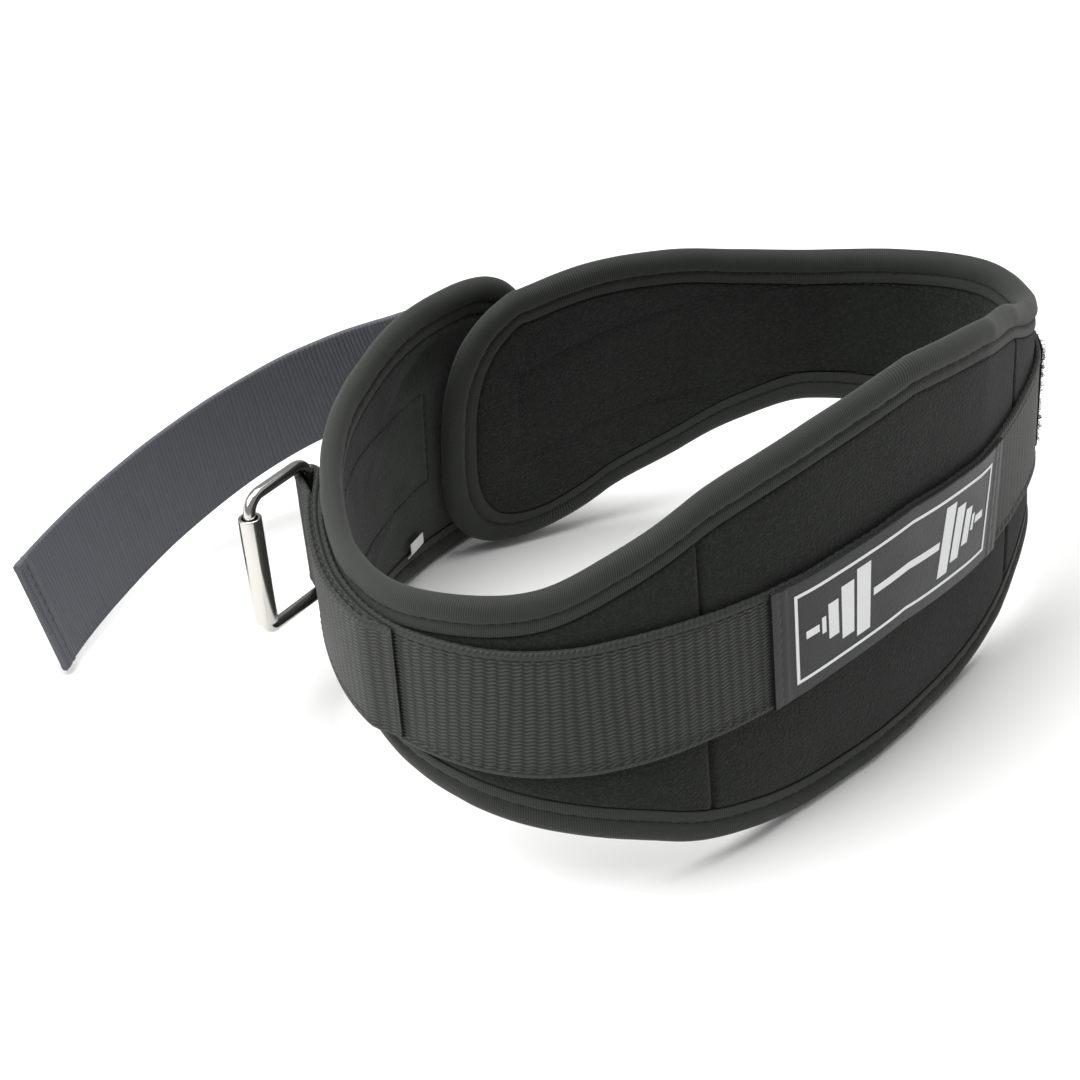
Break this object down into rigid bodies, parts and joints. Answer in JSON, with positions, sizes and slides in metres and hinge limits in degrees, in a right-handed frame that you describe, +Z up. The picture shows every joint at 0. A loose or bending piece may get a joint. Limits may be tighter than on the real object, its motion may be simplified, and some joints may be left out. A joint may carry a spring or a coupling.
{
  "type": "weightlifting belt",
  "caption": "Padded contoured weightlifting belt with bound edges, a webbing strap and a roller buckle, unfastened and standing as an open loop.",
  "frame": {"origin": "middle of the whole belt's box in plan, on the surface that it stands on", "axes": "+Z up, +X to the right and +Y away from the viewer as the picture shows the belt; the back of the belt lies towards -Y and +X, and the strap towards -X"},
  "size_m": [0.3612, 0.2436, 0.1538],
  "materials": {
    "foam_fabric": "black brushed knit laminated on foam",
    "binding_tape": "black ribbed grosgrain tape",
    "webbing": "black woven polypropylene webbing",
    "label": "black grained vinyl with a plain white print",
    "pile": "black loop pile tape",
    "tag": "white satin tag, blank",
    "bright_wire": "bright nickel-plated steel"
  },
  "bodies": {
    "belt": {"body": "foam_fabric", "binding": "binding_tape", "webbing": "webbing", "strap": "webbing", "label": "label", "pile_tape": "pile", "buckle_loop": "webbing", "size_tag": "tag"},
    "buckle": {"buckle_frame": "bright_wire"},
    "roller": {"buckle_roller": "bright_wire"}
  },
  "joints": [
    {"name": "buckle_turn", "type": "hinge", "parent": "belt", "child": "buckle", "pos_m": [-0.07811, -0.00713, 0.05796], "axis": [0.1185, -0.0968, -0.9882], "range_deg": [-25, 152]},
    {"name": "roller_spin", "type": "hinge", "parent": "buckle", "child": "roller", "pos_m": [-0.09465, -0.03334, 0.05854], "axis": [0.1185, -0.0968, -0.9882], "continuous": true}
  ]
}
